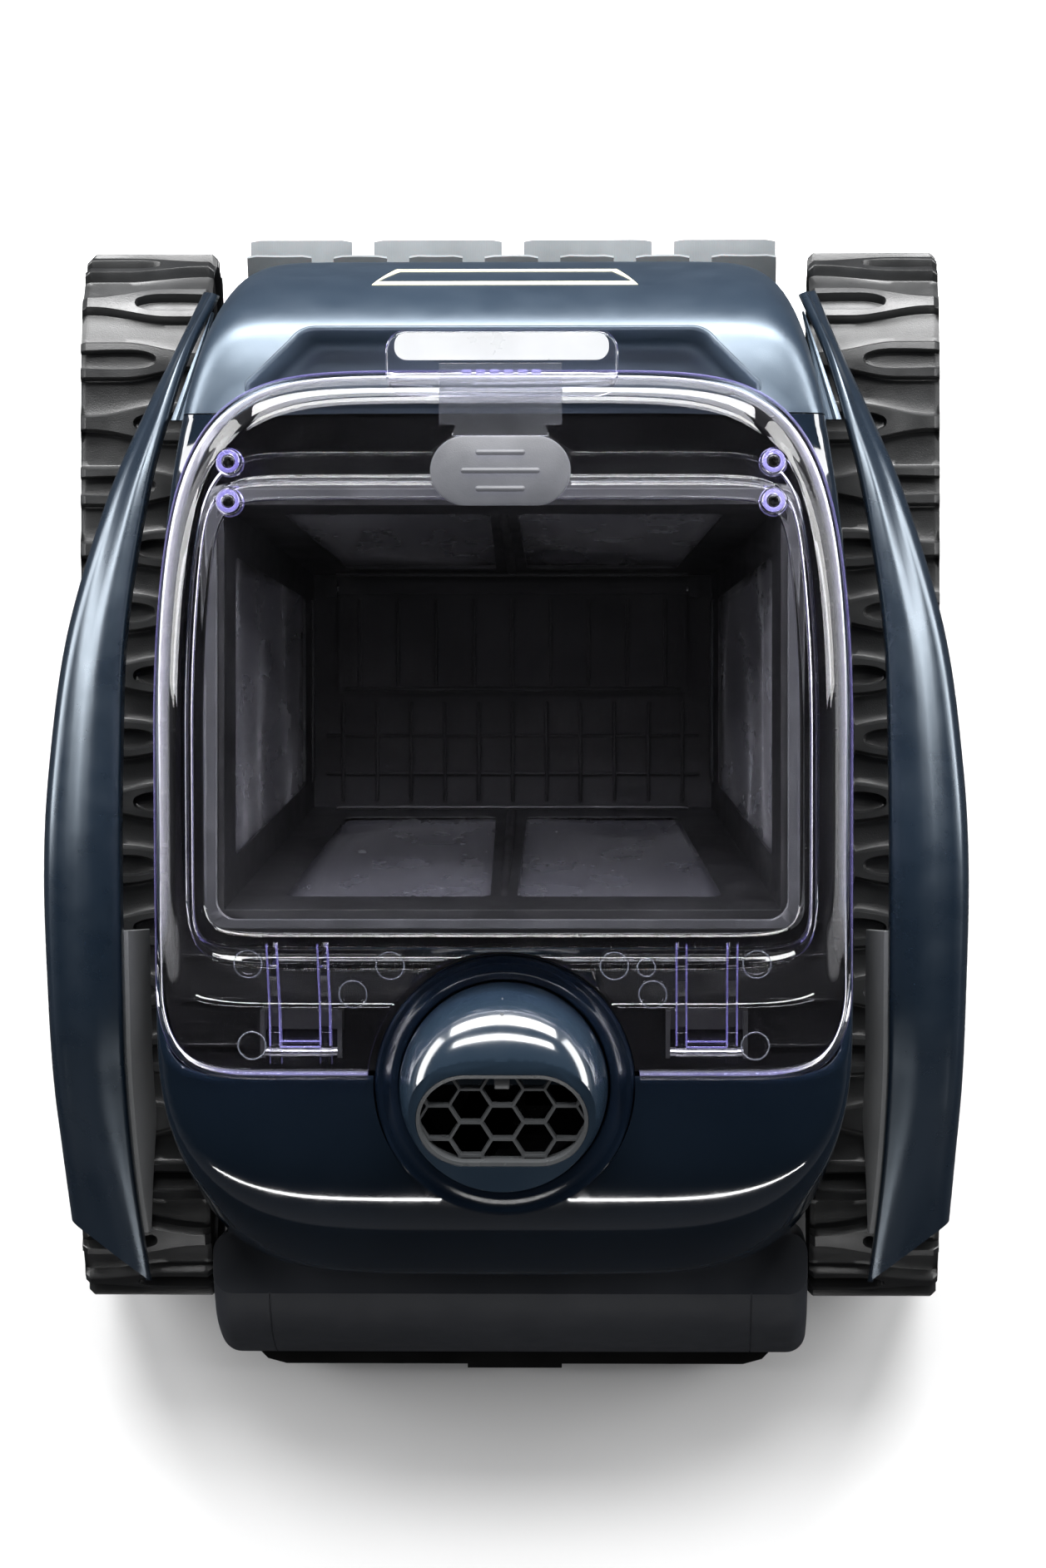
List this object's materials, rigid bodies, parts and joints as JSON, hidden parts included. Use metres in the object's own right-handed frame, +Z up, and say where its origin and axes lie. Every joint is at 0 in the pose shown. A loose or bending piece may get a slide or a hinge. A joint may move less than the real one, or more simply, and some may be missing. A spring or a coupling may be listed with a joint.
{
  "type": "robotic pool cleaner",
  "caption": "Cordless tracked pool cleaner with a clear hinged lid over a lift-out filter basket, a front fin brush, side tracks and an upward-facing outlet nozzle.",
  "frame": {"origin": "on the floor, under the middle of the machine's outline", "axes": "+Y towards the brush at the front, +X to the machine's right, +Z up"},
  "size_m": [0.42, 0.536, 0.2618],
  "materials": {
    "hull_gloss": "high gloss moulded plastic",
    "hull_satin": "satin pearl blue-grey moulded plastic",
    "chassis_matte": "fine matte moulded plastic",
    "black_plastic": "satin black moulded plastic",
    "grey_plastic": "matte grey moulded plastic",
    "grille_grey": "satin dark grey moulded plastic",
    "white_plate": "pale silver plate",
    "brush_pvc": "flexible pale grey PVC",
    "track_rubber": "black moulded rubber",
    "filter_mesh": "fine dark woven filter mesh",
    "cell_wrap": "shrink-wrapped cell pack",
    "steel": "stainless steel",
    "clear_lid": "clear acrylic with a violet tint at its edges",
    "frosted_pad": "frosted translucent plastic"
  },
  "bodies": {
    "root": {"front_hood": "hull_satin", "rear_hull": "hull_gloss", "recess_insert": "black_plastic", "deck_tray": "black_plastic", "lower_tub": "chassis_matte", "base_plate": "black_plastic", "intake_duct": "black_plastic", "tail_bumper": "chassis_matte", "left_fender": "hull_satin", "right_fender": "hull_satin", "left_fender_strut": "grey_plastic", "right_fender_strut": "grey_plastic", "left_track": "track_rubber", "right_track": "track_rubber", "left_front_axle": "steel", "right_front_axle": "steel", "left_gearbox": "grey_plastic", "right_gearbox": "grey_plastic", "left_drive_motor": "steel", "right_drive_motor": "steel", "pump_motor": "steel", "outlet_duct": "black_plastic", "battery_pack": "cell_wrap", "control_box": "grey_plastic", "nozzle_seat": "hull_gloss", "filter_frame": "black_plastic", "filter_floor": "black_plastic", "filter_mesh_front": "filter_mesh", "filter_mesh_rear": "filter_mesh", "filter_mesh_left": "filter_mesh", "filter_mesh_right": "filter_mesh", "flap_pin": "steel", "left_hinge_bracket": "black_plastic", "right_hinge_bracket": "black_plastic", "left_hinge_pin": "steel", "right_hinge_pin": "steel"},
    "lid": {"lid_shell": "clear_lid", "lid_gasket": "track_rubber", "lid_plate": "white_plate", "lid_screw_1": "steel", "lid_screw_2": "steel", "lid_screw_3": "steel", "lid_screw_4": "steel"},
    "latch": {"latch_pad": "frosted_pad", "latch_strap": "clear_lid"},
    "nozzle": {"nozzle_dome": "hull_gloss", "nozzle_grille": "grille_grey"},
    "impeller": {"propeller": "grey_plastic", "motor_shaft": "steel"},
    "brush": {"brush_sleeve": "brush_pvc", "brush_shaft": "steel"},
    "left_idler": {"left_front_wheel": "black_plastic", "left_wheel_bearing": "grey_plastic"},
    "right_idler": {"right_front_wheel": "black_plastic", "right_wheel_bearing": "grey_plastic"},
    "left_drive": {"left_rear_wheel": "black_plastic", "left_drive_shaft": "steel"},
    "right_drive": {"right_rear_wheel": "black_plastic", "right_drive_shaft": "steel"},
    "flap": {"inlet_flap": "black_plastic"}
  },
  "joints": [
    {"name": "lid_hinge", "type": "hinge", "parent": "root", "child": "lid", "pos_m": [0, -0.1085, 0.203], "axis": [1, 0, 0], "range_deg": [0, 75]},
    {"name": "latch_slide", "type": "slide", "parent": "lid", "child": "latch", "axis": [0, -1, 0], "range_m": [0, 0.005], "stiffness_N_per_m": 600, "springref_m": -0.002},
    {"name": "nozzle_turn", "type": "hinge", "parent": "root", "child": "nozzle", "pos_m": [0, -0.1245, 0.189], "axis": [0, 0, 1], "range_deg": [0, 40]},
    {"name": "propeller_spin", "type": "hinge", "parent": "root", "child": "impeller", "pos_m": [0, -0.1245, 0.145], "axis": [0, 0, 1], "continuous": true},
    {"name": "left_drive_spin", "type": "hinge", "parent": "root", "child": "left_drive", "pos_m": [-0.169, -0.173, 0.057], "axis": [1, 0, 0], "continuous": true},
    {"name": "left_idler_spin", "type": "hinge", "parent": "root", "child": "left_idler", "pos_m": [-0.169, 0.204, 0.057], "axis": [1, 0, 0], "continuous": true},
    {"name": "right_drive_spin", "type": "hinge", "parent": "root", "child": "right_drive", "pos_m": [0.169, -0.173, 0.057], "axis": [1, 0, 0], "continuous": true},
    {"name": "right_idler_spin", "type": "hinge", "parent": "root", "child": "right_idler", "pos_m": [0.169, 0.204, 0.057], "axis": [1, 0, 0], "continuous": true},
    {"name": "brush_spin", "type": "hinge", "parent": "root", "child": "brush", "pos_m": [0, 0.223, 0.05], "axis": [1, 0, 0], "continuous": true},
    {"name": "inlet_flap_hinge", "type": "hinge", "parent": "root", "child": "flap", "pos_m": [0, 0.1035, 0.056], "axis": [-1, 0, 0], "range_deg": [0, 70]}
  ],
  "couplings": [
    {"joint": "left_idler_spin", "follows": "left_drive_spin", "ratio": 1},
    {"joint": "right_idler_spin", "follows": "right_drive_spin", "ratio": 1},
    {"joint": "brush_spin", "follows": "left_drive_spin", "ratio": 2}
  ]
}
